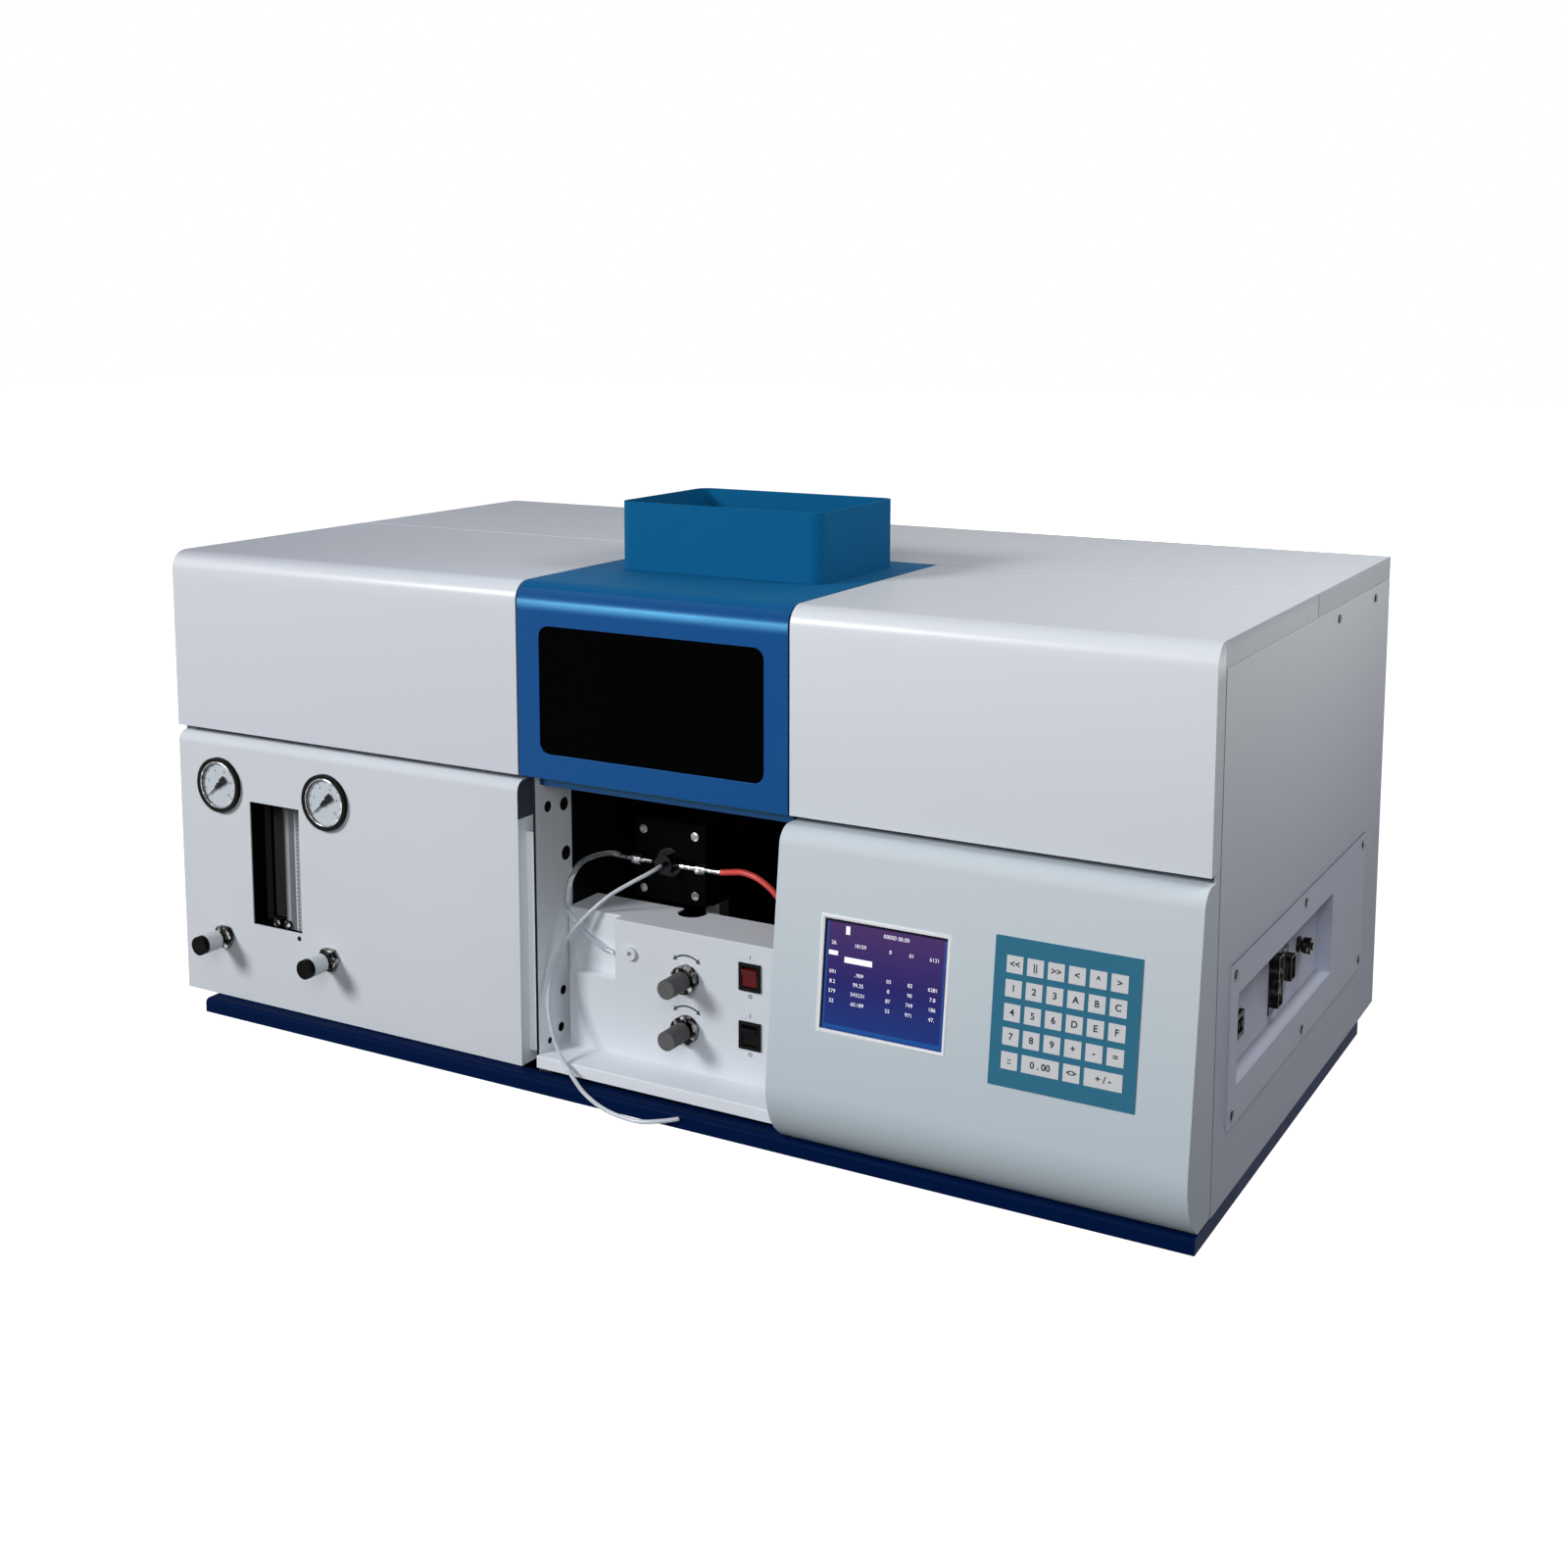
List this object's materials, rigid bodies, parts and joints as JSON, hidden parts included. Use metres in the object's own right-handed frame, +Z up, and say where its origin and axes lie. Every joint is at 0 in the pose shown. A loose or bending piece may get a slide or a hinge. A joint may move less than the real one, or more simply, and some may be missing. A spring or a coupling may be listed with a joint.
{
  "type": "atomic absorption spectrophotometer",
  "caption": "Bench flame atomic absorption spectrophotometer with hinged lids, blue burner hood and chimney, gas panel, burner compartment, sloping console and lamp turret.",
  "frame": {"origin": "on the bench, under the middle of the instrument's box without its free tubes", "axes": "+X to the right seen from the front, +Y to the back, +Z up"},
  "size_m": [1.0246, 0.592, 0.507],
  "materials": {
    "shell_white": "satin stove enamel",
    "hood_blue": "semi-gloss enamel",
    "base_navy": "semi-gloss enamel",
    "chamber_black": "matt heat-proof paint",
    "dark_glass": "smoked",
    "chrome": "polished",
    "bare_alloy": "machined",
    "burner_steel": "heat-stained",
    "black_plastic": "fine grain",
    "grey_plastic": "fine grain",
    "valve_grey": "knurled",
    "red_plastic": "smooth",
    "dial_white": "printed",
    "clear_block": "clear",
    "screen": "lit",
    "keypad_film": "embossed film",
    "lamp_glass": "clear",
    "board_green": "solder mask",
    "dark_casting": "matt",
    "mirror": "ruled",
    "red_hose": "smooth",
    "clear_hose": "clear"
  },
  "bodies": {
    "cabinet": {"left_side_panel": "shell_white", "right_side_panel": "shell_white", "back_panel": "shell_white", "rear_top_deck": "shell_white", "left_front_panel": "shell_white", "right_front_panel": "shell_white", "chamber_left_wall": "shell_white", "chamber_floor": "shell_white", "control_box": "shell_white", "socket_plate": "shell_white", "base_tray": "base_navy", "chamber_right_wall": "chamber_black", "chamber_back_wall": "chamber_black", "hinge_rod": "chrome", "earth_terminal": "chrome", "side_screws": "chrome", "gas_fittings": "chrome", "knob_collars": "chrome", "optical_bench": "bare_alloy", "lift_guide": "bare_alloy", "power_supply": "bare_alloy", "data_sockets": "bare_alloy", "mains_inlet": "black_plastic", "gauge_cases": "black_plastic", "flowmeter_recess": "black_plastic", "switch_frames": "black_plastic", "gauge_dials": "dial_white", "flowmeter_tube": "clear_block", "display": "screen", "keypad": "keypad_film", "main_board": "board_green", "lens_tubes": "dark_casting", "monochromator": "dark_casting", "photomultiplier": "dark_casting", "fuel_hose": "red_hose", "air_hose": "clear_hose", "sample_capillary": "clear_hose"},
    "left_lid": {"left_lid": "shell_white"},
    "hood": {"hood": "hood_blue", "hood_window": "dark_glass", "chimney": "hood_blue"},
    "right_lid": {"right_lid": "shell_white"},
    "air_pointer": {"air_pointer": "black_plastic"},
    "fuel_pointer": {"fuel_pointer": "black_plastic"},
    "flow_float": {"flow_float": "black_plastic"},
    "air_valve_knob": {"air_valve_knob": "valve_grey"},
    "fuel_valve_knob": {"fuel_valve_knob": "valve_grey"},
    "height_knob": {"height_knob": "grey_plastic"},
    "angle_knob": {"angle_knob": "grey_plastic"},
    "red_rocker": {"red_rocker": "red_plastic"},
    "black_rocker": {"black_rocker": "black_plastic"},
    "burner_lift": {"lift_post": "bare_alloy", "spray_chamber": "black_plastic", "nebulizer": "chrome"},
    "burner_head": {"burner_head": "burner_steel"},
    "lamp_turret": {"lamp_turret": "dark_casting", "lamps": "lamp_glass"},
    "grating": {"grating": "mirror"}
  },
  "joints": [
    {"name": "left_lid_hinge", "type": "hinge", "parent": "cabinet", "child": "left_lid", "pos_m": [-0.30675, 0.04, 0.436], "axis": [-1, 0, 0], "range_deg": [0, 60]},
    {"name": "hood_hinge", "type": "hinge", "parent": "cabinet", "child": "hood", "pos_m": [0.03125, 0.04, 0.436], "axis": [-1, 0, 0], "range_deg": [0, 60]},
    {"name": "right_lid_hinge", "type": "hinge", "parent": "cabinet", "child": "right_lid", "pos_m": [0.33725, 0.04, 0.436], "axis": [-1, 0, 0], "range_deg": [0, 60]},
    {"name": "air_valve_turn", "type": "hinge", "parent": "cabinet", "child": "air_valve_knob", "pos_m": [-0.45775, -0.26, 0.074], "axis": [0, -1, 0], "range_deg": [0, 1080]},
    {"name": "fuel_valve_turn", "type": "hinge", "parent": "cabinet", "child": "fuel_valve_knob", "pos_m": [-0.32425, -0.26, 0.074], "axis": [0, -1, 0], "range_deg": [0, 1080]},
    {"name": "air_pointer_turn", "type": "hinge", "parent": "cabinet", "child": "air_pointer", "pos_m": [-0.45775, -0.26, 0.224], "axis": [0, 1, 0], "range_deg": [0, 260], "stiffness_Nm_per_rad": 0.002},
    {"name": "fuel_pointer_turn", "type": "hinge", "parent": "cabinet", "child": "fuel_pointer", "pos_m": [-0.32425, -0.26, 0.224], "axis": [0, 1, 0], "range_deg": [0, 260], "stiffness_Nm_per_rad": 0.002},
    {"name": "flow_float_rise", "type": "slide", "parent": "cabinet", "child": "flow_float", "axis": [0, 0, 1], "range_m": [0, 0.09]},
    {"name": "height_knob_turn", "type": "hinge", "parent": "cabinet", "child": "height_knob", "pos_m": [0.04425, -0.222, 0.109], "axis": [0, 1, 0], "range_deg": [-47.8, 47.8]},
    {"name": "burner_lift_slide", "type": "slide", "parent": "cabinet", "child": "burner_lift", "axis": [0, 0, 1], "range_m": [-0.01, 0.01], "deforming": ["air_hose", "fuel_hose", "sample_capillary"]},
    {"name": "angle_knob_turn", "type": "hinge", "parent": "cabinet", "child": "angle_knob", "pos_m": [0.04425, -0.222, 0.064], "axis": [0, 1, 0], "range_deg": [-60, 60]},
    {"name": "burner_head_turn", "type": "hinge", "parent": "burner_lift", "child": "burner_head", "pos_m": [0.00925, -0.08, 0.296], "axis": [0, 0, 1], "range_deg": [-30, 30]},
    {"name": "red_rocker_tilt", "type": "hinge", "parent": "cabinet", "child": "red_rocker", "pos_m": [0.10725, -0.218, 0.121], "axis": [-1, 0, 0], "range_deg": [0, 16]},
    {"name": "black_rocker_tilt", "type": "hinge", "parent": "cabinet", "child": "black_rocker", "pos_m": [0.10725, -0.218, 0.07], "axis": [-1, 0, 0], "range_deg": [0, 16]},
    {"name": "lamp_turret_turn", "type": "hinge", "parent": "cabinet", "child": "lamp_turret", "pos_m": [-0.39275, -0.03, 0.34], "axis": [1, 0, 0], "range_deg": [0, 270]},
    {"name": "grating_turn", "type": "hinge", "parent": "cabinet", "child": "grating", "pos_m": [0.41725, 0.0398, 0.261], "axis": [0, 0, 1], "range_deg": [-25, 25]}
  ],
  "couplings": [
    {"joint": "height_knob_turn", "follows": "burner_lift_slide", "rad_per_m": 83.333},
    {"joint": "burner_head_turn", "follows": "angle_knob_turn", "ratio": 0.5}
  ]
}
